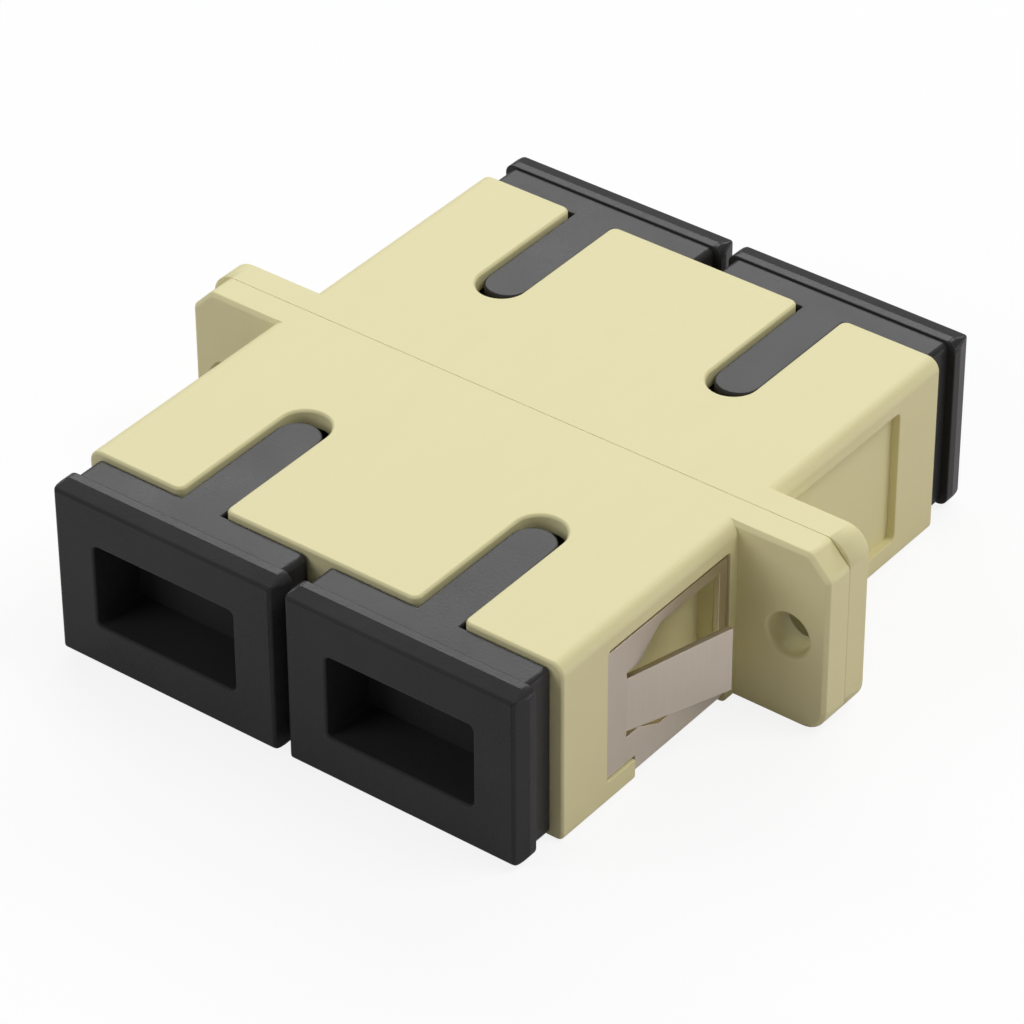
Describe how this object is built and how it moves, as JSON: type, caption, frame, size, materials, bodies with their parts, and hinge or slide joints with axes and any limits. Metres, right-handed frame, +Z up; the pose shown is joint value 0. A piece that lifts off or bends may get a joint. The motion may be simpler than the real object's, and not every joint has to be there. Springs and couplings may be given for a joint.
{
  "type": "duplex sc fibre adapter",
  "caption": "Flanged coupler that joins pairs of SC fibre plugs end to end, with key slots, screw ears, a spring panel clip and push-in dust caps.",
  "frame": {"origin": "middle of the joint between the housing halves, level with the plug axes and midway between them", "axes": "+X across the two channels, +Y along the plugs from front to rear, +Z up through the key slots"},
  "size_m": [0.0346, 0.0332, 0.0092],
  "materials": {
    "housing_plastic": "moulded cream plastic with a fine satin texture",
    "clip_steel": "stamped stainless spring steel, rolled satin",
    "cap_plastic": "soft moulded black plastic, slightly cloudy",
    "holder_plastic": "natural moulded engineering plastic",
    "sleeve_bronze": "drawn phosphor bronze, burnished"
  },
  "bodies": {
    "adapter": {"front_housing": "housing_plastic", "rear_housing": "housing_plastic", "retaining_clip": "clip_steel", "front_left_holder": "holder_plastic", "front_right_holder": "holder_plastic", "rear_left_holder": "holder_plastic", "rear_right_holder": "holder_plastic", "left_sleeve": "sleeve_bronze", "right_sleeve": "sleeve_bronze"},
    "front_left_dust_cap": {"front_left_cap": "cap_plastic"},
    "front_right_dust_cap": {"front_right_cap": "cap_plastic"},
    "rear_left_dust_cap": {"rear_left_cap": "cap_plastic"},
    "rear_right_dust_cap": {"rear_right_cap": "cap_plastic"}
  },
  "joints": [
    {"name": "front_left_cap_pull", "type": "slide", "parent": "adapter", "child": "front_left_dust_cap", "axis": [0, -1, 0], "range_m": [0, 0.012]},
    {"name": "front_right_cap_pull", "type": "slide", "parent": "adapter", "child": "front_right_dust_cap", "axis": [0, -1, 0], "range_m": [0, 0.012]},
    {"name": "rear_left_cap_pull", "type": "slide", "parent": "adapter", "child": "rear_left_dust_cap", "axis": [0, 1, 0], "range_m": [0, 0.012]},
    {"name": "rear_right_cap_pull", "type": "slide", "parent": "adapter", "child": "rear_right_dust_cap", "axis": [0, 1, 0], "range_m": [0, 0.012]}
  ]
}
